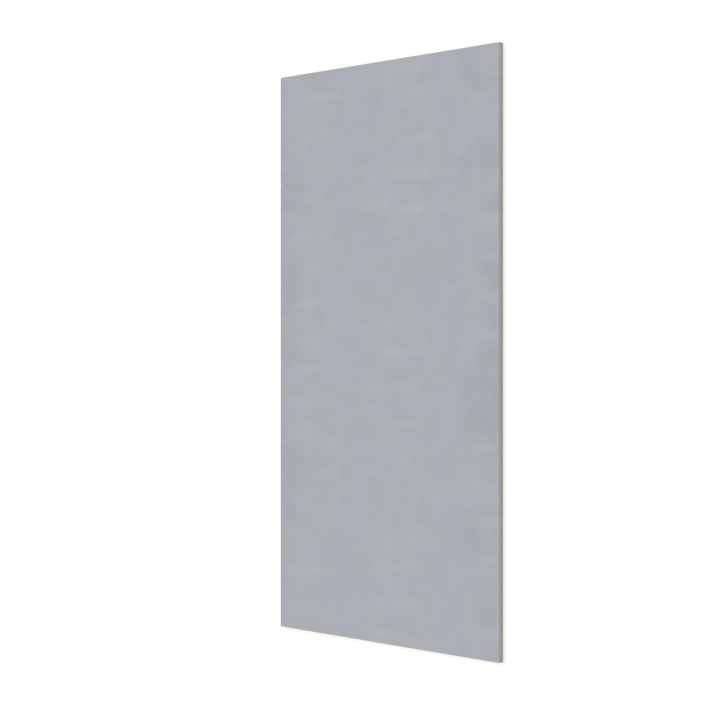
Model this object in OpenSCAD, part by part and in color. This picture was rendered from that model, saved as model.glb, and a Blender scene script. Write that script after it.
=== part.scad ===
// Cement-bonded particle board: one flat sheet, as it is sold.
// Wood particles and Portland cement are mixed, pressed between steel plates,
// cured and sawn square, so the sheet is a single solid with no separate skin or core.
// It lies on its back face. The origin is the centre of the back face, +X runs
// across the width, +Y along the length, and +Z points up out of the front face.

/* [Sheet] */
// Width of the sheet, across X, in mm
sheet_width = 1200; // [300:10:1250]
// Length of the sheet, along Y, in mm
sheet_length = 2400; // [600:10:3600]
// Thickness of the sheet, along Z, in mm
sheet_thickness = 22; // [6:0.5:40]

/* [Edges] */
// Width of the small flat that sawing and handling leave on every sharp edge, in mm
arris = 0.5; // [0.2:0.1:2]

/* [Hidden] */
cement_grey = "#abafb5";

// A rectangle, width by height, whose four corners are cut back by the arris.
module sawn_outline(width, height) {
  side = width / 2;
  end = height / 2;
  polygon([
    [side - arris, -end], [side, -end + arris], [side, end - arris], [side - arris, end],
    [-side + arris, end], [-side, end - arris], [-side, -end + arris], [-side + arris, -end]
  ]);
}

// The sheet is what its plan, its cross-section and its long section have in common,
// so all twelve edges carry the same arris.
module particle_board() {
  color(cement_grey)
    translate([0, 0, sheet_thickness / 2])
      intersection() {
        linear_extrude(height = sheet_thickness, center = true)
          sawn_outline(sheet_width, sheet_length);
        rotate([90, 0, 0])
          linear_extrude(height = sheet_length, center = true)
            sawn_outline(sheet_width, sheet_thickness);
        rotate([90, 0, 90])
          linear_extrude(height = sheet_width, center = true)
            sawn_outline(sheet_length, sheet_thickness);
      }
}

particle_board();
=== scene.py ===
import math

import bmesh
import bpy
from mathutils import Matrix, Vector


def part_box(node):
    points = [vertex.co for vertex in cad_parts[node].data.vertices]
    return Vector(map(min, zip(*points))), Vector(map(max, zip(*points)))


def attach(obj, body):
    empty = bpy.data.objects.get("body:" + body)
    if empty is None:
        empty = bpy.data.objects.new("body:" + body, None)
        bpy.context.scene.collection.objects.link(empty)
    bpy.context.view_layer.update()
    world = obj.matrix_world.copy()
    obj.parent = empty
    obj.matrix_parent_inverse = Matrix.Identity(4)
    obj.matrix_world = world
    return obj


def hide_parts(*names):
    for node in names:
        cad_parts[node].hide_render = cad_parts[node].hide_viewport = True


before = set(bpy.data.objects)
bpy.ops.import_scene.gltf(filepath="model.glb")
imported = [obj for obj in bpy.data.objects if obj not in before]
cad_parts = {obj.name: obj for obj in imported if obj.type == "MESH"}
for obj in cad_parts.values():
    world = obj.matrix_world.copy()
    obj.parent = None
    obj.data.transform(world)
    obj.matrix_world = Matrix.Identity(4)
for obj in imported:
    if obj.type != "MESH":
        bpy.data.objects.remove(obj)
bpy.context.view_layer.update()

# One cement-bonded particle board, lying loose on its back face on a studio floor.
# X runs across its width, Y along its length and Z through its thickness, in metres.
sheet_low, sheet_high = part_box("particle_board")
sheet_size = sheet_high - sheet_low
sheet_middle = (sheet_low + sheet_high) / 2


# Camera. It looks down on the lying sheet from beyond its right long edge, and is turned so
# that the sheet's length runs up the picture. The lens is a normal long one on a 36 mm frame.
VIEW_ANGLE = math.radians(42.65)  # between the line of sight and the face's normal
VIEW_DISTANCE = 6.532  # from the lens to the face, along the line of sight
VIEW_LEFT = 0.1266  # how far the line of sight passes to the left of the face's middle
VIEW_UP = 0.016  # how far it passes above the middle
FRAME_WIDTH = 36  # in mm
LENS = 80.97  # in mm
RISE = -0.0058  # the lens's shift, as a share of the picture

picture_right = Vector((math.cos(VIEW_ANGLE), 0, -math.sin(VIEW_ANGLE)))
picture_up = Vector((0, 1, 0))
towards_lens = Vector((math.sin(VIEW_ANGLE), 0, math.cos(VIEW_ANGLE)))
face_middle = Vector((sheet_middle.x, sheet_middle.y, sheet_high.z))
lens_place = face_middle - VIEW_LEFT * picture_right + VIEW_UP * picture_up
lens_place += VIEW_DISTANCE * towards_lens

scene = bpy.context.scene
camera = bpy.data.objects.new("camera", bpy.data.cameras.new("camera"))
scene.collection.objects.link(camera)
camera.data.sensor_width = FRAME_WIDTH
camera.data.lens = LENS
camera.data.shift_y = RISE
turned = Matrix((picture_right, picture_up, towards_lens)).transposed()
camera.matrix_world = Matrix.Translation(lens_place) @ turned.to_4x4()
scene.camera = camera
scene.view_settings.view_transform = "Standard"


# The sheet. Wood particles and Portland cement, laid as a mat, pressed between steel plates
# until the cement has set, and sawn to size. It is one slab with no skin or lipping of its
# own: its faces are smooth, and its four sawn edges show the particles cut through.
MM = 0.001
FACE_CELL = 30 * MM  # the mesh's cells in the middle of a face
WALL_ROWS = 3  # rows of cells up a sawn edge, before they are halved
COARSE_BANDS = (60 * MM, 30 * MM)  # from each of these to the rim, cells are halved once more
FINE_BANDS = (15 * MM, 3.75 * MM)  # from these too, with the rows up the sawn edges
ARRIS = 0.5 * MM  # the small flat along every sharp edge
WORN_BAND = 4 * MM  # how far from a sharp edge the crumbling reaches
CALM_BAND = 6 * MM  # how far from a face the sawn edge tears less
CALM_SHARE = 0.25  # how much of its tearing is left right at the face
MARK_HEIGHT = 0.4  # how high a torn particle's mark is, as a share of its length
SOFT_BEND = math.radians(35)  # sharper bends than this are shaded sharp
TOUCHING = 0.01 * MM  # points nearer than this count as being in one place


def choose_edges(wanted):
    """In edit mode, selects only the edges of the mesh that pass the test."""
    bpy.context.tool_settings.mesh_select_mode = (False, True, False)
    bpy.ops.mesh.select_all(action="DESELECT")
    mesh = bmesh.from_edit_mesh(bpy.context.object.data)
    for edge in mesh.edges:
        if wanted(edge):
            edge.select_set(True)
    bmesh.update_edit_mesh(bpy.context.object.data)


def depths(point):
    """How far in a point lies from the nearer long edge, the nearer end and the nearer face."""
    return [min(point[i] - sheet_low[i], sheet_high[i] - point[i]) for i in range(3)]


def runs_along(edge, axis):
    """Whether an edge of the mesh runs along an axis."""
    line = edge.verts[1].co - edge.verts[0].co
    return abs(line[axis]) > 0.9 * line.length


def near_rim(edge, band):
    """Whether an edge lies on a sawn side, or on a face within that band of the rim."""
    return all(min(depths(end.co)[:2]) < band + TOUCHING for end in edge.verts)


def on_arris(edge):
    """Whether an edge lies where two sides of the sheet meet."""
    sides_met = [max(depths(end.co)[i] for end in edge.verts) < TOUCHING for i in range(3)]
    return sum(sides_met) >= 2


bpy.ops.object.select_all(action="DESELECT")
bpy.ops.mesh.primitive_cube_add(size=1, location=sheet_middle, scale=sheet_size)
sheet = bpy.context.object
sheet.name = "particle_board_sheet"
bpy.ops.object.transform_apply(location=True, rotation=True, scale=True)

# Cells of one size all over, then halved towards the rim, where the sawing has left relief.
bpy.ops.object.mode_set(mode="EDIT")
for axis, cells in enumerate((sheet_size.x / FACE_CELL, sheet_size.y / FACE_CELL, WALL_ROWS)):
    choose_edges(lambda edge: runs_along(edge, axis))
    bpy.ops.mesh.subdivide(number_cuts=round(cells) - 1)
for band in COARSE_BANDS:
    choose_edges(lambda edge: near_rim(edge, band) and not runs_along(edge, 2))
    bpy.ops.mesh.subdivide(number_cuts=1)
for band in FINE_BANDS:
    choose_edges(lambda edge: near_rim(edge, band))
    bpy.ops.mesh.subdivide(number_cuts=1)
choose_edges(on_arris)
bpy.ops.mesh.bevel(offset=ARRIS, segments=1)
bpy.ops.object.mode_set(mode="OBJECT")

# A flat pattern of the six sides, in which the finish can be baked. The front gets half of
# it, and the sawn edges are drawn tall, because their flakes are thin. Each side has its
# outward axis and direction, its axes across and up the pattern, and its place there: left,
# bottom, width and height. A width below 0 turns over a side that would be mirrored. The
# sawn edges come first, so that they take the arrises with them.
SIDES = (
    (0, 1, 2, 1, 0.925, 0.005, -0.030, 0.990),  # right long edge
    (0, -1, 2, 1, 0.945, 0.005, 0.030, 0.990),  # left long edge
    (1, 1, 0, 2, 0.875, 0.800, -0.370, 0.030),  # far end
    (1, -1, 0, 2, 0.505, 0.860, 0.370, 0.030),  # near end
    (2, 1, 0, 1, 0.005, 0.005, 0.490, 0.990),  # front face
    (2, -1, 0, 1, 0.875, 0.005, -0.370, 0.740),  # back face
)
pattern = sheet.data.uv_layers.new(name="OFBake")
for face in sheet.data.polygons:
    side = max(SIDES, key=lambda side: round(side[1] * face.normal[side[0]], 2))
    across, up, left, bottom, width, height = side[2:]
    for corner in face.loop_indices:
        point = sheet.data.vertices[sheet.data.loops[corner].vertex_index].co - sheet_low
        u = left + width * point[across] / sheet_size[across]
        v = bottom + height * point[up] / sheet_size[up]
        pattern.data[corner].uv = (u, v)

# How strongly each point takes the marks that sawing and handling leave.
sawn = sheet.vertex_groups.new(name="sawn")
rim = sheet.vertex_groups.new(name="rim")
for vertex in sheet.data.vertices:
    inward = depths(vertex.co)
    to_arris = sorted(inward)[1]
    if min(inward[:2]) < TOUCHING:
        sawn.add([vertex.index], min(1, CALM_SHARE + inward[2] / CALM_BAND), "REPLACE")
    if to_arris < WORN_BAND:
        rim.add([vertex.index], 1 - to_arris / WORN_BAND, "REPLACE")

# The particles lie flat, because the mat is pressed, so their marks are squeezed in height.
flat_lay = bpy.data.objects.new("flat_lay", None)
scene.collection.objects.link(flat_lay)
flat_lay.scale = (1, 1, MARK_HEIGHT)
bpy.context.view_layer.update()


def wear(name, group, size, depth, contrast=1, brightness=1, follow=None):
    """Sinks the surface by up to a depth, in a cloudy pattern of that size. More contrast with
    less brightness leaves fewer, steeper marks. The pattern is squeezed as what it follows."""
    clouds = bpy.data.textures.new(name, "CLOUDS")
    clouds.noise_scale = size
    clouds.noise_depth = 2
    clouds.contrast = contrast
    clouds.intensity = brightness
    clouds.use_clamp = True
    marks = sheet.modifiers.new(name, "DISPLACE")
    marks.texture = clouds
    marks.texture_coords = "OBJECT" if follow else "LOCAL"
    marks.texture_coords_object = follow
    marks.vertex_group = group
    marks.direction = "NORMAL"
    marks.mid_level = 0
    marks.strength = -depth
    bpy.ops.object.modifier_apply(modifier=name)


wear("blade_wander", "sawn", 120 * MM, 0.3 * MM)
wear("torn_flakes", "sawn", 7 * MM, 1.2 * MM, contrast=4, brightness=0.1, follow=flat_lay)
wear("rough_cut", "sawn", 4 * MM, 0.2 * MM, follow=flat_lay)
wear("crumbled_arris", "rim", 9 * MM, 0.6 * MM)
wear("chipped_arris", "rim", 16 * MM, 1.6 * MM, contrast=4, brightness=0.05)
bpy.data.objects.remove(flat_lay)
bpy.ops.object.shade_smooth_by_angle(angle=SOFT_BEND)


def linear(code):
    """An sRGB hex colour as linear red, green and blue, with a full alpha."""
    parts = [int(code[i : i + 2], 16) / 255 for i in (1, 3, 5)]
    return [p / 12.92 if p <= 0.04045 else ((p + 0.055) / 1.055) ** 2.4 for p in parts] + [1]


def add_node(tree, kind, inputs=None, **fields):
    """Adds a shader node, sets its fields, sets or links its inputs, and gives its outputs."""
    node = tree.nodes.new("ShaderNode" + kind)
    for name, value in fields.items():
        setattr(node, name, value)
    for name, value in (inputs or {}).items():
        if isinstance(value, bpy.types.NodeSocket):
            tree.links.new(value, node.inputs[name])
        else:
            node.inputs[name].default_value = value
    return node.outputs


# Cement-bonded particle board: dense, matt and cool grey. The press has left the faces
# smooth, and the saw has opened the edges.
board = bpy.data.materials.new("cement_bonded_particle_board")
board.use_nodes = True
finish = board.node_tree
finish.nodes.clear()
place = add_node(finish, "TexCoord")["Object"]
along = add_node(finish, "SeparateXYZ", {"Vector": place})

# How deep a point lies behind the nearer long edge, the nearer end and the nearer face.
outward = add_node(finish, "VectorMath", {0: place, 1: sheet_middle}, operation="SUBTRACT")[0]
outward = add_node(finish, "VectorMath", {0: outward}, operation="ABSOLUTE")[0]
inward = {0: sheet_size / 2, 1: outward}
inward = add_node(finish, "VectorMath", inward, operation="SUBTRACT")[0]
depth = add_node(finish, "SeparateXYZ", {"Vector": inward})


def cloud(size, low, high, seed, detail=1):
    """A cloudy pattern of that size in mm, and another for each seed: 0 below the low level,
    rising to 1 at the high."""
    drawn = {"Vector": place, "Location": (seed, 0, 0), "Scale": [step * MM for step in size]}
    drawn = add_node(finish, "Mapping", drawn, vector_type="TEXTURE")[0]
    noise = add_node(finish, "TexNoise", {"Vector": drawn, "Scale": 1, "Detail": detail})
    levels = {"Value": noise["Fac"], "From Min": low, "From Max": high}
    return add_node(finish, "MapRange", levels, interpolation_type="SMOOTHSTEP")[0]


def pushed_about(size, reach, detail=1):
    """The place, pushed by up to half of a reach in mm, in a cloudy pattern of that size."""
    drawn = {"Vector": place, "Scale": [step * MM for step in size]}
    drawn = add_node(finish, "Mapping", drawn, vector_type="TEXTURE")[0]
    noise = add_node(finish, "TexNoise", {"Vector": drawn, "Scale": 1, "Detail": detail})
    push = {0: noise["Color"], 1: (0.5, 0.5, 0.5)}
    push = add_node(finish, "VectorMath", push, operation="SUBTRACT")[0]
    moved = {0: push, 1: [step * MM for step in reach], 2: place}
    return add_node(finish, "VectorMath", moved, operation="MULTIPLY_ADD")[0]


def particles(start, size, seed=0, turn=0):
    """Cells of that size in mm, turned in radians: how far a point is from its cell's middle,
    as a share of the size, and the cell's own lots, from 0 to 1."""
    drawn = {"Vector": start, "Location": (seed, 0, 0), "Rotation": (0, 0, turn)}
    drawn["Scale"] = [step * MM for step in size]
    drawn = add_node(finish, "Mapping", drawn, vector_type="TEXTURE")[0]
    cells = add_node(finish, "TexVoronoi", {"Vector": drawn, "Scale": 1})
    lots = add_node(finish, "SeparateColor", {"Color": cells["Color"]})
    return cells["Distance"], lots


def ripples(line, spacing, first, sway, reach, low, high):
    """Waves along a line, swayed by a cloud by up to half of a reach in radians: 0 below the
    low level of the wave, rising to 1 at the high."""
    radians_a_metre = 2 * math.pi / spacing
    phase = {0: line, 1: radians_a_metre, 2: -first * radians_a_metre - reach / 2}
    phase = add_node(finish, "Math", phase, operation="MULTIPLY_ADD")[0]
    phase = {0: sway, 1: reach, 2: phase}
    phase = add_node(finish, "Math", phase, operation="MULTIPLY_ADD")[0]
    wave = add_node(finish, "Math", {0: phase}, operation="COSINE")[0]
    levels = {"Value": wave, "From Min": low, "From Max": high}
    return add_node(finish, "MapRange", levels, interpolation_type="SMOOTHSTEP")[0]


def stain(under, code, share, *patterns):
    """Lays a colour over what is under it, by a share, where all the patterns are high."""
    for high in patterns:
        share = add_node(finish, "Math", {0: share, 1: high}, operation="MULTIPLY")[0]
    return add_node(finish, "Mix", {0: share, 6: under, 7: linear(code)}, data_type="RGBA")[2]


# The pressed face sets and dries unevenly, so bluish and plain grey drift into each other in
# lanes. It has short pale bars across their middles, faint wisps and streaks, duller spots
# and duller long edges.
BLUISH_CEMENT = "#AAAEB6"
PLAIN_CEMENT = "#ABAFB3"
PALE_LIME = "#BABEC3"
DULL_CEMENT = "#989CA6"
LANE_SPACING = 530 * MM
LANE_SWAY = 2.5  # how far a lane wanders from side to side, in radians of the spacing
FIRST_LANE = 100 * MM  # where the middle of a lane lies along X
BAR_SPACING = 145 * MM
BAR_SWAY = 1  # in radians of the spacing
DRY_BAND = 130 * MM  # how far in from the long edges the face has dried duller
SPOTS_INSIDE = 0.3  # how much of the dull spots is left away from the long edges
THROUGH = 20  # in mm, so that the back's pattern differs from the front's

lane_sway = cloud((300, 300, THROUGH), 0.2, 0.8, seed=3)
across_lanes = (along["X"], LANE_SPACING, FIRST_LANE, lane_sway, LANE_SWAY)
lanes = ripples(*across_lanes, -1.4, 0.4)
lane_middles = ripples(*across_lanes, 0.0, 0.6)

# The bars of a lane lie half a spacing off those of the next, and come and go along it.
lane_number = {0: along["X"], 1: 1 / LANE_SPACING, 2: 0.5 - FIRST_LANE / LANE_SPACING}
lane_number = add_node(finish, "Math", lane_number, operation="MULTIPLY_ADD")[0]
lane_number = add_node(finish, "Math", {0: lane_number}, operation="FLOOR")[0]
staggered = {0: lane_number, 1: BAR_SPACING / 2, 2: along["Y"]}
staggered = add_node(finish, "Math", staggered, operation="MULTIPLY_ADD")[0]
bar_sway = cloud((300, 400, THROUGH), 0.2, 0.8, seed=4)
bars = ripples(staggered, BAR_SPACING, 0, bar_sway, BAR_SWAY, 0.4, 1.0)

drifts = cloud((270, 130, THROUGH), 0.40, 0.52, seed=5)
barred = cloud((350, 400, THROUGH), 0.40, 0.55, seed=6)
wisps = cloud((210, 75, THROUGH), 0.44, 0.74, seed=7)
streaks = cloud((60, 350, THROUGH), 0.46, 0.75, seed=11)
dull_spots = cloud((280, 210, THROUGH), 0.42, 0.74, seed=13)
mottles = cloud((30, 16, THROUGH), 0.35, 0.65, seed=17)
levels = {"Value": depth["X"], "From Min": sheet_size.x / 4, "From Max": 0}
levels["To Min"] = SPOTS_INSIDE
outer_lanes = add_node(finish, "MapRange", levels, interpolation_type="SMOOTHSTEP")[0]
levels = {"Value": depth["X"], "From Min": DRY_BAND, "From Max": 0}
dry_rim = add_node(finish, "MapRange", levels, interpolation_type="SMOOTHSTEP")[0]

skin = stain(linear(BLUISH_CEMENT), PLAIN_CEMENT, 1, drifts, lanes)
skin = stain(skin, PALE_LIME, 0.28, bars, lane_middles, barred)
skin = stain(skin, PALE_LIME, 0.13, wisps, lanes)
skin = stain(skin, PALE_LIME, 0.10, streaks)
skin = stain(skin, DULL_CEMENT, 0.36, dull_spots, outer_lanes)
skin = stain(skin, DULL_CEMENT, 0.09, dry_rim)
skin = stain(skin, PALE_LIME, 0.08, mottles)

# The paste's grain is a tenth of this size, and is drawn coarser so that it shows.
grain = cloud((1.5, 1.5, THROUGH), 0.40, 0.75, seed=19, detail=3)
skin = stain(skin, DULL_CEMENT, 0.24, grain)

# Particles just under the skin show through it as faint slivers, bent and lying every way.
# Less than half of the cells hold one, and it fills more or less of its cell.
PALE_PARTICLE = "#BDBFBF"
DARK_PARTICLE = "#96958F"
SLIVERS = (  # the length and width of a kind's cells in mm, and their turn in radians
    (15, 2.8, 0.3),
    (13, 2.4, 2.0),
    (10, 2.0, 1.2),
    (6, 1.3, 2.8),
)
SLIVER_SHARE = 0.30
EMPTY_CELLS = 0.65  # the share of the cells that hold none
LEAST_REACH = 0.2  # how far a sliver reaches from the middle of its cell, as a share of it
MOST_REACH = 0.5
SLIVER_BLUR = 0.15  # how softly a sliver ends, as a share of its cell
bent_place = pushed_about((7, 7, THROUGH), reach=(5, 5, 0))
for length, width, turn in SLIVERS:
    distance, lots = particles(bent_place, (length, width, THROUGH), seed=turn, turn=turn)
    shown = {"Value": lots["Red"], "From Min": EMPTY_CELLS, "From Max": 1}
    shown = add_node(finish, "MapRange", shown)[0]
    reach = {"Value": lots["Blue"], "To Min": LEAST_REACH, "To Max": MOST_REACH}
    reach = add_node(finish, "MapRange", reach)[0]
    inside = add_node(finish, "Math", {0: reach, 1: distance}, operation="SUBTRACT")[0]
    inside = add_node(finish, "MapRange", {"Value": inside, "From Max": SLIVER_BLUR})[0]
    pale = add_node(finish, "Math", {0: lots["Green"], 1: 0.5}, operation="GREATER_THAN")[0]
    dark = add_node(finish, "Math", {0: 1, 1: pale}, operation="SUBTRACT")[0]
    skin = stain(skin, PALE_PARTICLE, SLIVER_SHARE, shown, inside, pale)
    skin = stain(skin, DARK_PARTICLE, SLIVER_SHARE, shown, inside, dark)

# Pinholes, left by air between the plate and the paste. They are strewn through the sheet,
# half of the cells hold one, and only the few that lie right at a face show.
PINHOLE_SHADE = "#74777D"
PINHOLE_CELL = 26  # in mm
PINHOLE_RIM = 0.9  # how far its slope reaches from its middle, in mm
PINHOLE_FLOOR = 0.3  # how far its deepest part does, in mm
CELLS_WITHOUT = 0.5  # the share of the cells that hold none
distance, lots = particles(place, (PINHOLE_CELL, PINHOLE_CELL, THROUGH), seed=5)
levels = {"Value": distance, "From Min": PINHOLE_RIM / PINHOLE_CELL}
levels["From Max"] = PINHOLE_FLOOR / PINHOLE_CELL
hollow = add_node(finish, "MapRange", levels)[0]
open_ones = {0: lots["Red"], 1: CELLS_WITHOUT}
open_ones = add_node(finish, "Math", open_ones, operation="GREATER_THAN")[0]
pinholes = add_node(finish, "Math", {0: open_ones, 1: hollow}, operation="MULTIPLY")[0]
# The pinholes' dark colour is painted shade inside them.
skin = stain(skin, PINHOLE_SHADE, 0.7, pinholes)

# The skin's relief in mm, and its sheen, which comes and goes.
WAVE_HEIGHT = 0.15
GRIT_HEIGHT = 0.05
PINHOLE_DEPTH = 0.3
SMOOTHEST_SKIN = 0.66
ROUGHEST_SKIN = 0.84
waves = cloud((40, 30, THROUGH), 0.2, 0.8, seed=23)
grit = cloud((2.5, 2.5, THROUGH), 0.2, 0.8, seed=29, detail=4)
skin_height = add_node(finish, "Math", {0: waves, 1: WAVE_HEIGHT}, operation="MULTIPLY")[0]
for marks, rise in ((grit, GRIT_HEIGHT), (pinholes, -PINHOLE_DEPTH)):
    higher = {0: marks, 1: rise, 2: skin_height}
    skin_height = add_node(finish, "Math", higher, operation="MULTIPLY_ADD")[0]
sheen = cloud((100, 60, THROUGH), 0.3, 0.7, seed=31)
skin_roughness = {"Value": sheen, "To Min": SMOOTHEST_SKIN, "To Max": ROUGHEST_SKIN}
skin_roughness = add_node(finish, "MapRange", skin_roughness)[0]

# The sawn edge shows flat wood flakes lying in the paste, cut through by the blade. They are
# fine and grey near the faces, and coarser, browner and torn in the core. Real ones are half
# as thick, and are drawn coarser so that they show. The saw's dust dulls them, and some
# stretches have the wood's olive tint.
PASTE = "#C3BDBA"
FLAKES = (  # a kind of flake takes the cells whose lot is above its number
    (0.34, "#D1CDCB"),
    (0.52, "#C4B6A6"),
    (0.68, "#AFA9A6"),
    (0.84, "#A69786"),
    (0.93, "#DAD5D0"),
)
CORE_FLAKE = (10, 10, 1.3)  # in mm
FACE_FLAKE = (5, 5, 0.6)  # in mm
ALL_FINE = 2 * MM  # how far in from a face all the flakes are fine
ALL_COARSE = 6 * MM  # how far in they are all coarse
SAW_DUST = "#C3BDBA"
FINE_PASTE = "#C6C2C1"
OLIVE_WOOD = "#C1BDA1"
DARK_CRUMB = "#908883"
DEEP_SHADE = "#7F766D"
SHADE_STARTS = 0.4 * MM  # how far behind the side a torn hollow starts to darken
SHADE_FULL = 1.3 * MM
CUT_HEIGHT = 0.4  # in mm
CUT_ROUGHNESS = 0.9

levels = {"Value": depth["Z"], "From Min": ALL_COARSE, "From Max": ALL_FINE}
near_face = add_node(finish, "MapRange", levels, interpolation_type="SMOOTHSTEP")[0]
torn_place = pushed_about((4, 4, 1.5), reach=(5, 5, 1.2), detail=2)
core_lots = particles(torn_place, CORE_FLAKE)[1]
face_lots = particles(torn_place, FACE_FLAKE, seed=1)[1]
lot = add_node(finish, "Mix", {0: near_face, 2: core_lots["Red"], 3: face_lots["Red"]})[0]
cut = linear(PASTE)
for number, code in FLAKES:
    drawn = add_node(finish, "Math", {0: lot, 1: number}, operation="GREATER_THAN")[0]
    cut = stain(cut, code, 1, drawn)

stretches = cloud((220, 220, 1000), 0.42, 0.64, seed=2)
crumbs = cloud((1.2, 1.2, 0.8), 0.45, 0.70, seed=9, detail=2)
# Where the torn hollows get painted shade, by how far behind the side they lie.
behind = add_node(finish, "Math", {0: depth["X"], 1: depth["Y"]}, operation="MINIMUM")[0]
levels = {"Value": behind, "From Min": SHADE_STARTS, "From Max": SHADE_FULL}
hollow_shade = add_node(finish, "MapRange", levels, interpolation_type="SMOOTHSTEP")[0]
cut = stain(cut, SAW_DUST, 0.30)
cut = stain(cut, FINE_PASTE, 0.55, near_face)
cut = stain(cut, OLIVE_WOOD, 0.45, stretches)
cut = stain(cut, DARK_CRUMB, 0.35, crumbs)
# Painted shade in the torn hollows, darkest where they lie deepest.
cut = stain(cut, DEEP_SHADE, 0.45, hollow_shade)
splinters = cloud((3, 3, 1), 0.2, 0.8, seed=3, detail=4)
cut_height = add_node(finish, "Math", {0: splinters, 1: CUT_HEIGHT}, operation="MULTIPLY")[0]

# The pressed skin is thin: where the surface lies a little below the face, the cut shows.
THINNEST_SKIN = 0.05 * MM
SKIN_FADE = 0.07 * MM  # how much deeper the cut shows in full
THICKER_SKIN = 0.15 * MM  # how much thicker than that the skin is in places
ragged = cloud((2.5, 2.5, 2.5), 0.2, 0.8, seed=37, detail=2)
below = {0: ragged, 1: -THICKER_SKIN, 2: depth["Z"]}
below = add_node(finish, "Math", below, operation="MULTIPLY_ADD")[0]
opened = {"Value": below, "From Min": THINNEST_SKIN, "From Max": THINNEST_SKIN + SKIN_FADE}
opened = add_node(finish, "MapRange", opened)[0]

BOARD_IOR = 1.5  # of cement and wood alike
colour = add_node(finish, "Mix", {0: opened, 6: skin, 7: cut}, data_type="RGBA")[2]
height = add_node(finish, "Mix", {0: opened, 2: skin_height, 3: cut_height})[0]
roughness = add_node(finish, "Mix", {0: opened, 2: skin_roughness, 3: CUT_ROUGHNESS})[0]
relief = add_node(finish, "Bump", {"Height": height, "Distance": MM, "Strength": 1})[0]
surface = {"Base Color": colour, "Roughness": roughness, "Normal": relief, "IOR": BOARD_IOR}
surface = add_node(finish, "BsdfPrincipled", surface)[0]
add_node(finish, "OutputMaterial", {"Surface": surface})
sheet.data.materials.append(board)

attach(sheet, "root")
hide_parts("particle_board")


# Floor. A plain pale studio floor, painted matt, which the sheet lies on. To the camera it
# is lifted to white, by light that doesn't reach the sheet, and it keeps the sheet's shadow.
FLOOR_SPAN = 80  # in metres, so that its far side is out of sight from low down
FLOOR_PAINT = "#DADADA"
FLOOR_LIFT = 0.38


def seen_directly(tree):
    """1 for rays from the camera, in reflections and through glass, and 0 for light."""
    path = add_node(tree, "LightPath")
    seen = {0: path["Is Camera Ray"], 1: path["Is Glossy Ray"]}
    seen = add_node(tree, "Math", seen, operation="MAXIMUM")[0]
    seen = {0: seen, 1: path["Is Transmission Ray"]}
    return add_node(tree, "Math", seen, operation="MAXIMUM")[0]


bpy.ops.object.select_all(action="DESELECT")
bpy.ops.mesh.primitive_plane_add(size=FLOOR_SPAN, location=(0, 0, sheet_low.z))
floor = bpy.context.object
floor.name = "floor"
bpy.ops.object.transform_apply(location=True, rotation=True, scale=True)
paint = bpy.data.materials.new("matt_floor_paint")
paint.use_nodes = True
coat = paint.node_tree
coat.nodes.clear()
lift = {0: seen_directly(coat), 1: FLOOR_LIFT}
lift = add_node(coat, "Math", lift, operation="MULTIPLY")[0]
matt = add_node(coat, "BsdfDiffuse", {"Color": linear(FLOOR_PAINT)})[0]
glow = add_node(coat, "Emission", {"Strength": lift})[0]
surface = add_node(coat, "AddShader", {0: matt, 1: glow})[0]
add_node(coat, "OutputMaterial", {"Surface": surface})
floor.data.materials.append(paint)


# Light. A white studio all round, and one very broad lamp high up and a little to the left.
# Together they show a colour about as it is written, and leave the right edge in soft shade.
ROOM_LIGHT = 0.66
LAMP_LIGHT = 1.02
LAMP_WIDTH = math.radians(50)
TOWARDS_LAMP = Vector((-0.40, 0.25, 0.90))

world = bpy.data.worlds.new("studio")
scene.world = world
world.use_nodes = True
room = world.node_tree
room.nodes.clear()
strength = {"Value": seen_directly(room), "To Min": ROOM_LIGHT, "To Max": 1}
strength = add_node(room, "MapRange", strength)[0]
light = add_node(room, "Background", {"Color": (1, 1, 1, 1), "Strength": strength})[0]
add_node(room, "OutputWorld", {"Surface": light})

lamp = bpy.data.objects.new("lamp", bpy.data.lights.new("lamp", "SUN"))
scene.collection.objects.link(lamp)
lamp.data.energy = LAMP_LIGHT
lamp.data.angle = LAMP_WIDTH
lamp.rotation_euler = TOWARDS_LAMP.to_track_quat("Z", "Y").to_euler()
